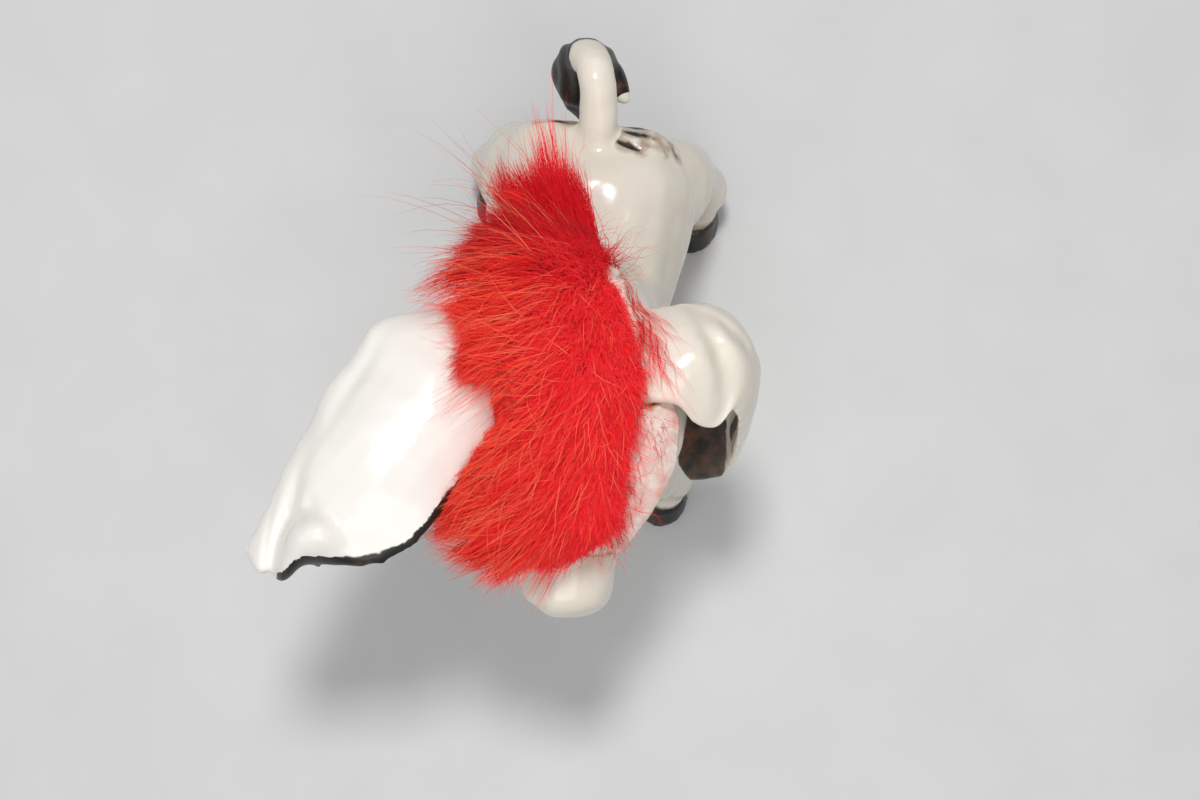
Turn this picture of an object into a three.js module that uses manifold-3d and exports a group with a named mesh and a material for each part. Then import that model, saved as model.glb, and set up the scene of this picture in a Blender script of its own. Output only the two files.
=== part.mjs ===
// Donkey figurine: hollow glazed ceramic castings luted together, with a strip of dyed fur glued on as
// its mane. Millimetres, +Z up, standing on its hooves. The donkey faces -Y and its own left is +X.
import * as THREE from 'three';
import { mergeVertices } from 'three/addons/utils/BufferGeometryUtils.js';
import Module from 'manifold-3d';

const wasm = await Module();
wasm.setup();
const { Manifold } = wasm;

// Clearances and wall
const lutingGap = 0.3; // between two castings, and between the layers of the mane
const earGap = 0.6; // between an ear and the layers of the mane
const castWall = 4; // wall of the hollow castings

// Torso
const bellyHeight = 41; // floor to the underside of the belly
const torsoHeight = 49;
const torsoLength = 108;
const haunchWidth = 58;
const waistWidth = 48;
const chestWidth = 53;
const rumpWidth = 47;
const rumpDome = 9; // how far the rounded rump bulges behind its last section
const chestDome = 9;
const haunchInset = 20; // haunch section ahead of the rear end
const chestInset = 18; // chest section behind the front end
const ventDiameter = 5; // firing vent in the belly

// Neck
const neckTopWidth = 37;
const neckBaseWidth = 47; // side to side, where it leaves the shoulders
const neckTopDepth = 38; // front to back, where it meets the head
const neckBaseDepth = 66; // front to back, where it leaves the shoulders
const neckRise = 25; // top of the back to the middle of the skull
const neckLean = 5; // how far the skull lies ahead of the neck's foot
const neckFootY = -13;

// Head
const skullWidth = 56;
const cheekWidth = 60;
const skullHeight = 41;
const skullBack = 15; // skull centre to the last section at the back
const skullDome = 8;
const faceLength = 58; // skull centre to the muzzle section
const noseWidth = 27;
const muzzleWidth = 24;
const muzzleHeight = 23;
const muzzleDome = 6;
const headYaw = 5.5; // degrees, turned towards the donkey's left
const headPitch = 10; // degrees, muzzle down

// Ears
const earThickness = 5;
const rightEarLength = 60; // held out level to the front and side
const rightEarWidth = 38;
const rightEarTurn = 31; // degrees out from straight ahead
const rightEarSlant = 28; // degrees, its blunt end cut back on the side of the face
const rightEarDome = 4;
const rightEarCup = 6; // how far its back bows up
const leftEarReach = 16; // sideways, root to bend
const leftEarDrop = 52; // bend to hanging tip
const leftEarWidth = 30;
const leftEarCup = 5;
const earRootWidth = 27;
const earRootDepth = 10; // buried length that the head trims to its own curve
const earRootHeight = 12; // above the middle of the skull
const earRootInset = 4; // inside the side of the skull
const earRootBack = 2; // behind the middle of the skull

// Legs
const frontHoofSplay = 3; // hoof centre outside the chest's side
const hindHoofSplay = 1; // hoof centre outside the haunch's side
const hoofHeight = 9;
const hoofWidth = 16;
const hoofLength = 19;
const soleBevel = 0.8;
const fetlockHeight = 20;
const fetlockWidth = 14;
const fetlockOut = 1.8; // fetlock outside its hoof
const cannonWidth = 12;
const kneeWidth = 16;
const shoulderWidth = 25;
const hipWidth = 31;
const legRootInset = 14; // leg's root inside the torso's side
const frontHoofLead = 4; // front hoof ahead of the chest section
const frontFetlockBack = 5; // fetlock behind its hoof
const hindHoofBack = 11; // hind hoof behind the haunch section
const hindFetlockBack = 7;
const hockBack = 18; // hock behind the haunch section

// Tail
const tailDockWidth = 10.5;
const tailArch = 9; // crown of the dock above its root
const tailReach = 15; // dock's crown to the back of the rump
const tailTuftWidth = 20;
const tailTuftDepth = 12;
const tailTuftLength = 40;
const tailSwing = 5; // tuft towards the donkey's right

// Mane
const glueThickness = 0.5;
const hideThickness = 1.4;
const hideWidth = 54; // over the cheeks, narrowing to the nose and the withers
const pileHeight = 10; // over the poll
const pileWidth = 50;
const pileCombed = 9.5; // at the back of the skull, pile combed towards the donkey's right
const maneSwing = 7; // mane's back end towards the donkey's right
const maneFront = 12; // hide's front edge behind the muzzle section
const maneBack = 4; // hide's back edge behind the foot of the neck's crest

const xAxis = new THREE.Vector3(1, 0, 0);
const yAxis = new THREE.Vector3(0, 1, 0);
const zAxis = new THREE.Vector3(0, 0, 1);
const vec = (x, y, z) => new THREE.Vector3(x, y, z);

// A section of a loft: centre, half width along side, half height along up, and cup, the bow of its middle.
const section = (at, halfSide, halfUp, cup = 0) => ({ at, size: vec(halfSide, halfUp, cup) });

function solidFrom(positions, triangles) {
  return new Manifold(new wasm.Mesh({
    numProp: 3,
    vertProperties: new Float32Array(positions),
    triVerts: new Uint32Array(triangles),
  }));
}

function solidFromGeometry(geometry) {
  geometry.deleteAttribute('normal');
  geometry.deleteAttribute('uv');
  const welded = mergeVertices(geometry);
  return solidFrom(welded.attributes.position.array, welded.index.array);
}

// Closed skin over a row of rings with equal point counts, with a fan to the middle at each end.
function skinRings(rings) {
  const count = rings[0].length;
  const positions = [];
  const triangles = [];
  rings.flat().forEach((point) => positions.push(point.x, point.y, point.z));
  for (let r = 0; r + 1 < rings.length; r += 1) {
    for (let i = 0; i < count; i += 1) {
      const a = r * count + i;
      const b = r * count + ((i + 1) % count);
      triangles.push(a, b, b + count, a, b + count, a + count);
    }
  }
  [0, rings.length - 1].forEach((end) => {
    const middle = rings[end].reduce((sum, point) => sum.add(point), vec(0, 0, 0)).divideScalar(count);
    const hub = positions.length / 3;
    positions.push(middle.x, middle.y, middle.z);
    for (let i = 0; i < count; i += 1) {
      const a = end * count + i;
      const b = end * count + ((i + 1) % count);
      triangles.push(hub, end === 0 ? b : a, end === 0 ? a : b);
    }
  });
  return solidFrom(positions, triangles);
}

// Ring of a superellipse; squareness 2 is an ellipse and more is boxier.
function ring(at, side, up, size, around, squareness) {
  const power = 2 / squareness;
  return Array.from({ length: around }, (_, i) => {
    const angle = (2 * Math.PI * i) / around;
    const c = Math.cos(angle);
    const s = Math.sin(angle);
    const across = size.x * Math.sign(c) * Math.abs(c) ** power;
    const above = size.y * Math.sign(s) * Math.abs(s) ** power + size.z * s * s;
    return at.clone().addScaledVector(side, across).addScaledVector(up, above);
  });
}

// Loft through sections. frame(along, share) gives a ring's side and up; grow moves the whole skin out;
// domes are the rounded depths at the first and last section, 0 leaving that end flat.
function loft(sections, frame, { steps, around, squareness = 2, domes = [0, 0], grow = 0 }) {
  const path = new THREE.CatmullRomCurve3(sections.map((entry) => entry.at));
  const sizes = new THREE.CatmullRomCurve3(sections.map((entry) => entry.size));
  const grown = (size) => vec(size.x + grow, size.y + grow, size.z);
  const rings = [];
  const addRing = (at, share, scale) => {
    const { side, up } = frame(path.getTangent(share), share);
    rings.push(ring(at, side, up, grown(sizes.getPoint(share)).multiplyScalar(scale), around, squareness));
  };
  const addDome = (share, depth, ends) => {
    const out = path.getTangent(share).multiplyScalar(share === 0 ? -1 : 1);
    ends.forEach((bend) => {
      const at = path.getPoint(share).addScaledVector(out, (depth + grow) * Math.sin(bend));
      addRing(at, share, Math.cos(bend));
    });
  };
  const bends = [0.3, 0.6, 0.88].map((part) => (part * Math.PI) / 2);
  if (domes[0] > 0) addDome(0, domes[0], bends.slice().reverse());
  else if (grow > 0) addRing(path.getPoint(0).addScaledVector(path.getTangent(0), -grow), 0, 1);
  for (let i = 0; i <= steps; i += 1) addRing(path.getPoint(i / steps), i / steps, 1);
  if (domes[1] > 0) addDome(1, domes[1], bends);
  else if (grow > 0) addRing(path.getPoint(1).addScaledVector(path.getTangent(1), grow), 1, 1);
  const { side, up } = frame(path.getTangent(0), 0);
  if (side.clone().cross(up).dot(path.getTangent(0)) < 0) rings.reverse();
  return skinRings(rings);
}

// Outer skins are finer than the hollows inside them.
function skinDetail(grow, steps, around) {
  const share = grow < 0 ? 0.65 : 1;
  return { steps: Math.round(steps * share), around: Math.round(around * share) };
}

const uprightFrame = () => ({ side: xAxis, up: zAxis });
const levelFrame = () => ({ side: xAxis, up: yAxis });

// Frame that stays square to the path, with its back turned from one direction to another on the way.
function turningFrame(backs, slant = 0) {
  const turn = new THREE.CatmullRomCurve3(backs);
  const skew = Math.tan(THREE.MathUtils.degToRad(slant));
  return (along, share) => {
    const side = along.clone().cross(turn.getPoint(share)).normalize();
    const up = side.clone().cross(along).normalize();
    side.addScaledVector(along, skew * THREE.MathUtils.smoothstep(share, 0.4, 1)).normalize();
    return { side, up };
  };
}

// Torso: lofted front to back
const torsoZ = bellyHeight + torsoHeight / 2;
const backZ = bellyHeight + torsoHeight;
const rearY = torsoLength / 2;
const haunchY = rearY - haunchInset;
const chestY = -rearY + chestInset;

function torsoBody(grow) {
  const high = torsoHeight / 2;
  const sections = [
    section(vec(0, rearY - rumpDome, torsoZ + 2), rumpWidth / 2, high * 0.74),
    section(vec(0, haunchY, torsoZ), haunchWidth / 2, high),
    section(vec(0, (haunchY + chestY) / 2, torsoZ + 1), waistWidth / 2, high * 0.95),
    section(vec(0, chestY, torsoZ), chestWidth / 2, high),
    section(vec(0, -rearY + chestDome, torsoZ), chestWidth * 0.36, high * 0.72),
  ];
  return loft(sections, uprightFrame, {
    ...skinDetail(grow, 13, 28), squareness: 2.3, domes: [rumpDome, chestDome], grow,
  });
}

// Head: lofted from the back of the skull to the muzzle, turned and pitched about the middle of the skull
const skullAt = vec(0, neckFootY - neckLean, backZ + neckRise);
const yaw = THREE.MathUtils.degToRad(headYaw);
const pitch = THREE.MathUtils.degToRad(headPitch);
const headSide = vec(Math.cos(yaw), Math.sin(yaw), 0);
const headAhead = vec(Math.sin(yaw) * Math.cos(pitch), -Math.cos(yaw) * Math.cos(pitch), -Math.sin(pitch));
const headUp = headAhead.clone().cross(headSide);
const headPoint = (ahead, side, up) => skullAt.clone()
  .addScaledVector(headAhead, ahead).addScaledVector(headSide, side).addScaledVector(headUp, up);
const headFrame = () => ({ side: headSide, up: headUp });
const cheekAhead = faceLength * 0.24;

function headSections() {
  const high = skullHeight / 2;
  const muzzleHigh = muzzleHeight / 2;
  return [
    section(headPoint(-skullBack, 0, -1), skullWidth * 0.36, high * 0.8),
    section(headPoint(0, 0, 0), skullWidth / 2, high),
    section(headPoint(cheekAhead, 0, -1), cheekWidth / 2, high),
    section(headPoint(faceLength * 0.6, 0, 0), (cheekWidth + noseWidth) / 4, (high + muzzleHigh) / 2 + 1),
    section(headPoint(faceLength * 0.82, 0, 0.5), noseWidth / 2, muzzleHigh + 0.5),
    section(headPoint(faceLength, 0, 0), muzzleWidth / 2, muzzleHigh),
  ];
}

function headBody(grow) {
  return loft(headSections(), headFrame, {
    ...skinDetail(grow, 15, 26), squareness: 2.2, domes: [skullDome, muzzleDome], grow,
  });
}

// Neck: level sections from inside the torso to inside the head; its back edge is the crest
const neckRows = [
  { z: torsoZ, depth: neckBaseDepth, width: neckBaseWidth },
  { z: backZ - torsoHeight * 0.14, depth: neckBaseDepth, width: neckBaseWidth },
  { z: backZ + neckRise * 0.4, depth: (neckBaseDepth + neckTopDepth) / 2, width: neckTopWidth + 2 },
  { z: backZ + neckRise, depth: neckTopDepth, width: neckTopWidth },
];
const neckCentreY = (z) => neckFootY - neckLean * THREE.MathUtils.clamp((z - backZ) / neckRise, 0, 1);

function neckBody(grow) {
  const sections = neckRows.map(({ z, depth, width }) => (
    section(vec(0, neckCentreY(z), z), width / 2, depth / 2)));
  return loft(sections, levelFrame, { ...skinDetail(grow, 8, 24), squareness: 2.2, grow });
}

const trunkSkin = (grow) => torsoBody(grow).add(neckBody(grow));
const wholeSkin = (grow) => trunkSkin(grow).add(headBody(grow));

function torsoShell() {
  const ventRadius = ventDiameter / 2;
  const vent = new THREE.CylinderGeometry(ventRadius, ventRadius, castWall * 4, 24);
  vent.rotateX(Math.PI / 2);
  vent.translate(0, 0, bellyHeight);
  return trunkSkin(0)
    .subtract(headBody(lutingGap))
    .subtract(trunkSkin(-castWall))
    .subtract(solidFromGeometry(vent));
}

function headShell() {
  return headBody(0).subtract(headBody(-castWall)).subtract(neckBody(-castWall));
}

// Ears: cupped leaves along a spine, each trimmed at its root to the curve of the head
const earRoot = (hand) => headPoint(-earRootBack, hand * (skullWidth / 2 - earRootInset), earRootHeight);

function rightEarSections() {
  const root = earRoot(-1);
  const turn = THREE.MathUtils.degToRad(rightEarTurn);
  const out = vec(-Math.sin(turn), -Math.cos(turn), 0);
  const inward = vec(1, 0.7, -0.2).normalize();
  const along = (share, rise) => (
    root.clone().addScaledVector(out, rightEarLength * share).add(vec(0, 0, rise)));
  const half = rightEarWidth / 2;
  const thick = earThickness / 2;
  return [
    section(root.clone().addScaledVector(inward, earRootDepth), earRootWidth * 0.42, thick * 1.6, 1),
    section(along(0.02, 1), earRootWidth / 2, thick * 1.3, rightEarCup * 0.7),
    section(along(0.16, 2.5), half * 0.95, thick * 1.1, rightEarCup * 0.9),
    section(along(0.38, 4.5), half, thick, rightEarCup),
    section(along(0.62, 6), half, thick, rightEarCup),
    section(along(0.83, 5.5), half * 0.97, thick, rightEarCup * 0.8),
    section(along(1, 4), half * 0.92, thick * 0.8, rightEarCup * 0.5),
  ];
}

const rightEarFrame = turningFrame([vec(0.1, 0.2, 1), vec(-0.05, 0.1, 1), vec(-0.25, 0, 1)], rightEarSlant);

function rightEarBody(grow) {
  return loft(rightEarSections(), rightEarFrame, { steps: 15, around: 20, domes: [0, rightEarDome], grow });
}

function leftEarSections() {
  const root = earRoot(1);
  const half = leftEarWidth / 2;
  const thick = earThickness / 2;
  const bend = root.clone().add(vec(leftEarReach, 1, -leftEarReach * 0.6));
  const hang = (inward, ahead, drop) => (
    bend.clone().add(vec(-inward, -leftEarDrop * ahead, -leftEarDrop * drop)));
  return [
    section(root.clone().add(vec(-earRootDepth, -2, -2)), earRootWidth * 0.42, thick * 1.6, 1),
    section(root.clone().add(vec(1, 0, 1)), earRootWidth / 2, thick * 1.3, leftEarCup * 0.6),
    section(root.clone().add(vec(leftEarReach * 0.6, 1.5, 0)), half * 0.9, thick, leftEarCup),
    section(bend, half, thick, leftEarCup),
    section(hang(0, 0.14, 0.36), half, thick, leftEarCup),
    section(hang(3, 0.3, 0.7), half * 0.78, thick, leftEarCup * 0.7),
    section(hang(6, 0.42, 0.94), half * 0.3, thick * 0.8, 1),
  ];
}

const leftEarFrame = turningFrame([
  vec(0, 0.35, 1), vec(0.2, 0.35, 1), vec(0.9, 0.4, 0.6), vec(1, 0.5, 0.1), vec(1, 0.7, -0.2),
]);

function leftEarBody(grow) {
  return loft(leftEarSections(), leftEarFrame, { steps: 17, around: 20, domes: [0, 2.5], grow });
}

// Legs: level sections from a flat sole up into the torso, trimmed to the torso's curve
function legBody(hand, { rootY, rootWidth, sideWidth, hoofSplay, kneeY, hoofY, fetlockBack }) {
  const hoofX = hand * (sideWidth / 2 + hoofSplay);
  const fetlockX = hoofX + hand * fetlockOut;
  const rootX = hand * (sideWidth / 2 - legRootInset);
  const kneeX = (rootX + fetlockX) / 2 + hand * 2;
  const kneeZ = bellyHeight - 3;
  const cannonZ = (fetlockHeight + kneeZ) / 2;
  const cannonY = (kneeY + hoofY + fetlockBack) / 2;
  const pastern = vec(hoofX + hand * fetlockOut * 0.6, hoofY + fetlockBack * 0.75, hoofHeight + 3);
  const thigh = vec((kneeX + rootX) / 2, (kneeY + rootY) / 2, (kneeZ + torsoZ) / 2);
  const sections = [
    section(vec(hoofX, hoofY, 0), hoofWidth / 2 - soleBevel, hoofLength / 2 - soleBevel),
    section(vec(hoofX, hoofY, soleBevel), hoofWidth / 2, hoofLength / 2),
    section(vec(hoofX, hoofY + fetlockBack * 0.4, hoofHeight), hoofWidth * 0.43, hoofLength * 0.41),
    section(pastern, fetlockWidth * 0.45, fetlockWidth * 0.47),
    section(vec(fetlockX, hoofY + fetlockBack, fetlockHeight), fetlockWidth / 2, fetlockWidth / 2),
    section(vec((fetlockX * 2 + kneeX) / 3, cannonY, cannonZ), cannonWidth / 2, cannonWidth * 0.55),
    section(vec(kneeX, kneeY, kneeZ), kneeWidth / 2, kneeWidth * 0.56),
    section(thigh, rootWidth * 0.4, rootWidth * 0.48),
    section(vec(rootX, rootY, torsoZ), rootWidth * 0.3, rootWidth / 2),
  ];
  return loft(sections, levelFrame, { steps: 17, around: 16, squareness: 2.1 })
    .subtract(trunkSkin(lutingGap));
}

const frontLeg = (hand) => legBody(hand, {
  rootY: chestY + 2,
  rootWidth: shoulderWidth,
  sideWidth: chestWidth,
  hoofSplay: frontHoofSplay,
  kneeY: chestY - 1,
  hoofY: chestY - frontHoofLead,
  fetlockBack: frontFetlockBack,
});
const hindLeg = (hand) => legBody(hand, {
  rootY: haunchY,
  rootWidth: hipWidth,
  sideWidth: haunchWidth,
  hoofSplay: hindHoofSplay,
  kneeY: haunchY + hockBack,
  hoofY: haunchY + hindHoofBack,
  fetlockBack: hindFetlockBack,
});

// Tail: the dock rises from the rump, arches back and ends in a hanging tuft
function tailBody() {
  const rootZ = torsoZ + torsoHeight * 0.32;
  const crownY = rearY + tailReach * 0.62;
  const backY = rearY + tailReach;
  const dock = tailDockWidth / 2;
  const tuft = (back, share) => vec(-tailSwing, backY + back, rootZ - tailTuftLength * share);
  const sections = [
    section(vec(0, rearY - rumpDome * 1.6, rootZ - 4), dock * 1.2, dock * 1.1),
    section(vec(0, rearY - 1, rootZ + tailArch * 0.5), dock, dock),
    section(vec(-tailSwing * 0.4, crownY, rootZ + tailArch), dock, dock),
    section(vec(-tailSwing, backY, rootZ + tailArch * 0.35), dock * 1.15, dock),
    section(tuft(1, 0.3), tailTuftWidth / 2, tailTuftDepth / 2),
    section(tuft(-2, 0.7), tailTuftWidth * 0.4, tailTuftDepth * 0.42),
    section(tuft(-5, 1), 2, 2),
  ];
  const frame = (along) => ({ side: xAxis, up: xAxis.clone().cross(along).normalize() });
  return loft(sections, frame, { steps: 20, around: 16, domes: [0, 2] }).subtract(trunkSkin(lutingGap));
}

// Mane: glue film, hide and fur pile in layers over the forehead, poll and crest
const glueTop = lutingGap + glueThickness;
const hideFoot = glueTop + lutingGap;
const hideTop = hideFoot + hideThickness;
const pileFoot = hideTop + lutingGap;

// Crest line on the skin, front to back: forehead, poll, back of the skull, crest of the neck, withers
function crestPoints() {
  const neckBackAt = (z, depth) => vec(0, neckCentreY(z) + depth / 2, z);
  return [
    headPoint(faceLength - maneFront, 0, muzzleHeight / 2 + 1),
    headPoint(cheekAhead, 0, skullHeight / 2 - 1),
    headPoint(0, 0, skullHeight / 2),
    headPoint(-skullBack - skullDome * 0.6, 0, skullHeight * 0.3),
    neckBackAt(neckRows[2].z, neckRows[2].depth).add(vec(-maneSwing / 2, 0, 0)),
    vec(-maneSwing, neckFootY + neckBaseDepth / 2 + maneBack, backZ - 2),
  ];
}

const crestFrame = (along) => {
  const up = along.clone().cross(xAxis).normalize().negate();
  return { side: xAxis, up };
};

function maneFootprint() {
  const reach = pileFoot * 6;
  const spread = [0.52, 1, 0.86, 0.53, 0.35, 0.24];
  const sections = crestPoints().map((at, i) => section(at, (hideWidth / 2) * spread[i], reach));
  return loft(sections, crestFrame, { steps: 14, around: 16, squareness: 5 });
}

const clearOfEars = (solid) => solid.subtract(rightEarBody(earGap)).subtract(leftEarBody(earGap));

const maneLayer = (foot, top) => (
  clearOfEars(wholeSkin(top).intersect(maneFootprint()).subtract(wholeSkin(foot))));

function manePile() {
  const spread = [0.74, 0.98, 1, 0.88, 0.62, 0.42];
  const loftiness = [0.98, 1.05, 1.02, 1, 1, 0.9];
  const combing = [0.75, 0.2, 0.5, 1, 0.85, 0.4];
  const high = pileHeight + pileFoot;
  const sections = crestPoints().map((at, i) => {
    const combed = vec(-pileCombed * combing[i], 0, 0);
    return section(at.add(combed), (pileWidth / 2) * spread[i], high * loftiness[i]);
  });
  const pile = loft(sections, crestFrame, { steps: 16, around: 24, domes: [5, 6] });
  return clearOfEars(pile.subtract(wholeSkin(pileFoot)));
}

// Finishes
const glaze = { color: 0xece3d4, roughness: 0.14, metalness: 0 };
const tuftGlaze = { color: 0xded4c4, roughness: 0.16, metalness: 0 };
const leather = { color: 0xb98a6a, roughness: 0.75, metalness: 0 };
const glue = { color: 0xd9cfa8, roughness: 0.4, metalness: 0 };
const fur = { color: 0xb01822, roughness: 0.9, metalness: 0 };

function piece(name, solid, finish) {
  const { vertProperties, triVerts } = solid.getMesh();
  const geometry = new THREE.BufferGeometry();
  geometry.setAttribute('position', new THREE.BufferAttribute(vertProperties, 3));
  geometry.setIndex(new THREE.BufferAttribute(triVerts, 1));
  geometry.computeVertexNormals();
  const mesh = new THREE.Mesh(geometry, new THREE.MeshStandardMaterial(finish));
  mesh.name = name;
  return mesh;
}

const donkey = new THREE.Group();
donkey.add(
  piece('torso_shell', torsoShell(), glaze),
  piece('head_shell', headShell(), glaze),
  piece('right_ear', rightEarBody(0).subtract(headBody(lutingGap)), glaze),
  piece('left_ear', leftEarBody(0).subtract(headBody(lutingGap)), glaze),
  piece('front_left_leg', frontLeg(1), glaze),
  piece('front_right_leg', frontLeg(-1), glaze),
  piece('hind_left_leg', hindLeg(1), glaze),
  piece('hind_right_leg', hindLeg(-1), glaze),
  piece('tail', tailBody(), tuftGlaze),
  piece('mane_glue', maneLayer(lutingGap, glueTop), glue),
  piece('mane_hide', maneLayer(hideFoot, hideTop), leather),
  piece('mane_pile', manePile(), fur),
);

// Origin under the middle of the figure, on the floor
const bounds = new THREE.Box3().setFromObject(donkey);
const middle = bounds.getCenter(vec(0, 0, 0));
donkey.position.set(-middle.x, -middle.y, -bounds.min.z);

export default donkey;
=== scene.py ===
"""Dressed donkey figurine: hand-painted glazed ceramic with a mane of dyed fur, seen from above."""
import math

import bmesh
import bpy
import numpy as np
from mathutils import Matrix, Vector
from mathutils.bvhtree import BVHTree
from mathutils.kdtree import KDTree


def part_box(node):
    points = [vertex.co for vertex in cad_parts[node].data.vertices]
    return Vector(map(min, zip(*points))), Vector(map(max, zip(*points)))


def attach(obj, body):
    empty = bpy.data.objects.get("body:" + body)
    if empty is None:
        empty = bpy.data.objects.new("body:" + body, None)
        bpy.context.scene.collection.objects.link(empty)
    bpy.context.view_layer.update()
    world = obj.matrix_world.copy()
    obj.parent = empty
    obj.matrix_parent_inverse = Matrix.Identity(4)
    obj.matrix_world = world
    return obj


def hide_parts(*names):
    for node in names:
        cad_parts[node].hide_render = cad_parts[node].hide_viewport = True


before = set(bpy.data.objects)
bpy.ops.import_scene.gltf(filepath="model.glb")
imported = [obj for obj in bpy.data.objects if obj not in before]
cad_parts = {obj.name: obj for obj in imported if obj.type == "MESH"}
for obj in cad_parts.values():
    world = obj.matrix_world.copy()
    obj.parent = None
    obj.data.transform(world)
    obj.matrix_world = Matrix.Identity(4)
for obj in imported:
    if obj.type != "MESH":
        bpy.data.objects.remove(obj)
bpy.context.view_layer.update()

# Shapes are in millimetres until a mesh is made from them.
MM = 0.001
LEG_NODES = ("front_left_leg", "front_right_leg", "hind_left_leg", "hind_right_leg")
CERAMIC_NODES = ("torso_shell", "head_shell", "right_ear", "left_ear", "tail", *LEG_NODES)


def node_box(name):
    return np.array(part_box(name)) / MM


# Body and head axes: x to the donkey's left, y to its tail, z up. Left and right are the donkey's own.
BODY = np.mean(node_box("torso_shell"), axis=0)
SKULL = BODY + (0, -18.0, 40.3)
HEAD_YAW = math.radians(5.5)
HEAD_PITCH = math.radians(10)
HEAD_AHEAD = np.array([
    math.sin(HEAD_YAW) * math.cos(HEAD_PITCH),
    -math.cos(HEAD_YAW) * math.cos(HEAD_PITCH),
    -math.sin(HEAD_PITCH)])
HEAD_SIDE = np.array([math.cos(HEAD_YAW), math.sin(HEAD_YAW), 0])
HEAD_AXES = np.stack([HEAD_AHEAD, HEAD_SIDE, np.cross(HEAD_AHEAD, HEAD_SIDE)], 1)

# Camera, from the photograph: focal length in pixels of a 1200 pixel wide picture
PHOTO_WIDTH = 1200
FOCAL_PIXELS = 1900
SENSOR_MM = 36
CAMERA_HEIGHT = 580
CAMERA_FROM_BODY = (16.8, -84.9)
CAMERA_AHEAD = (-0.016, 0.124, -0.992)
CAMERA_UP = (-0.111, 0.994, 0.122)

# Ceramic skin
JOIN_SWELL = 0.3  # closes the luting gaps before the skin is made
SKIN_VOXEL = 1.2
SMOOTH_IN = 0.65  # steps in and back out of a round of smoothing
SMOOTH_OUT = -0.68
BODY_SMOOTHING = 26  # rounds
LIMB_SMOOTHING = 9
CHEST_SMOOTHING = 150
EAR_SMOOTHING = 20
HAUNCH_HEIGHT = 38  # legs blend into the body above this
SOLE_HEIGHT = 0.5  # skin below this keeps its height, so that the soles stay flat
CHEST = (0, -42, -8)  # from the middle of the body
CHEST_SIZE = (30, 18, 28)
BELLY = -20  # the belly lies below this, from the middle of the body
VENT_RADIUS = 2.5
VENT_PLUG_RADIUS = 4.0
VENT_PLUG_HEIGHT = 4.2  # of the plug's middle, above the belly

# Face, from the middle of the skull; the eyes lie further to the side than EYE_SIDE
EYE_AHEAD, EYE_SIDE, EYE_UP = 25, 8, -4
NOSTRIL_AHEAD, NOSTRIL_SIDE, NOSTRIL_UP = 61, 6.5, -4

# Paint
HOOF_PAINT = 9.5  # height of the black on the hooves
BARE = -6.0  # depth inside a painted patch that means far outside it
DYE_REACH = 12.0  # glaze further than this from the hide has no stain

# Fur
FUR_SEED = 11
LOCK_COUNT = 520
NOSE_LOCK_CHOICE = 6000  # roots, of which the nearest to its place are taken
NOSE_LOCK_PLACE = (4, -46)  # from the skull
STRAND_RINGS = 7
ALONG_HAIR = np.linspace(0, 1, STRAND_RINGS)
PIECE_STRANDS = 4800  # at most this many strands go in one fur piece; few enough for the export to keep them all
HAIR_CLEARANCE = 0.4  # of hair above the ceramic
HAIR_SINKING = 6  # hair deeper in the ceramic stays there
HIDE_VOXEL = 0.55
HIDE_STRETCH = (2.8, 0, -1.6)
EAR_OVER_FUR = -7.0  # y from the skull: hair rooted ahead of this goes under the right ear
OVERHEAD = 400  # a height above everything
UP = Vector((0, 0, 1))


# Numbers

def norms(vectors):
    return np.linalg.norm(vectors, axis=-1)


def unit(vectors):
    return vectors / np.maximum(norms(vectors), 1e-9)[..., None]


def fade(low, high, value):
    """0 to 1 as the value goes from low to high."""
    share = np.clip((value - low) / (high - low), 0, 1)
    return share * share * (3 - 2 * share)


def bell(distance, width):
    return np.exp(-(distance / width) ** 2)


def line_distance(points, line):
    """Distance of each point from a polyline, and the nearest place along it, 0 to 1."""
    ways = np.diff(line, axis=0)
    lengths = norms(ways)
    away = points[:, None] - np.array(line[:-1])
    share = np.clip((away * ways).sum(-1) / lengths ** 2, 0, 1)
    distance = norms(away - share[..., None] * ways)
    along = (np.cumsum(lengths) - lengths + share * lengths) / lengths.sum()
    nearest = np.arange(len(points)), distance.argmin(1)
    return distance[nearest], along[nearest]


def waves(points, wavelength, seed, count=6):
    """Smooth noise of about -1 to 1: a few sines in seeded directions."""
    rng = np.random.default_rng(seed)
    ways = unit(rng.normal(size=(count, 3))) * rng.uniform(0.7, 1.4, (count, 1))
    phases = rng.uniform(0, 2 * math.pi, count)
    return np.sin(points @ ways.T * (2 * math.pi / wavelength) + phases).mean(1) * 1.8


def in_head(points):
    """Points as distances ahead of the skull's middle, to its left and above it."""
    return (points - SKULL) @ HEAD_AXES


# Meshes

def mesh_points(mesh):
    points = np.empty(len(mesh.vertices) * 3, np.float32)
    mesh.vertices.foreach_get("co", points)
    return points.reshape(-1, 3).astype(float) / MM


def node_mesh(name):
    """Welded vertices in mm and triangles of a CAD node."""
    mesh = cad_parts[name].data
    mesh.calc_loop_triangles()
    corners = np.empty(len(mesh.loop_triangles) * 3, np.int32)
    mesh.loop_triangles.foreach_get("vertices", corners)
    points = mesh_points(mesh)
    _, first, place = np.unique(np.round(points, 3), axis=0, return_index=True, return_inverse=True)
    triangles = place.reshape(-1)[corners].reshape(-1, 3)
    whole = (np.diff(np.sort(triangles, axis=1), axis=1) > 0).all(1)
    return points[first], triangles[whole]


def vertex_normals(points, faces):
    """Area-weighted normals of triangles or quads."""
    corners = points[faces]
    face_normals = np.cross(corners[:, 2] - corners[:, 0], corners[:, -1] - corners[:, 1])
    total = np.zeros_like(points)
    for corner in faces.T:
        for axis in range(3):
            total[:, axis] += np.bincount(corner, face_normals[:, axis], len(points))
    return unit(total)


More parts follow.
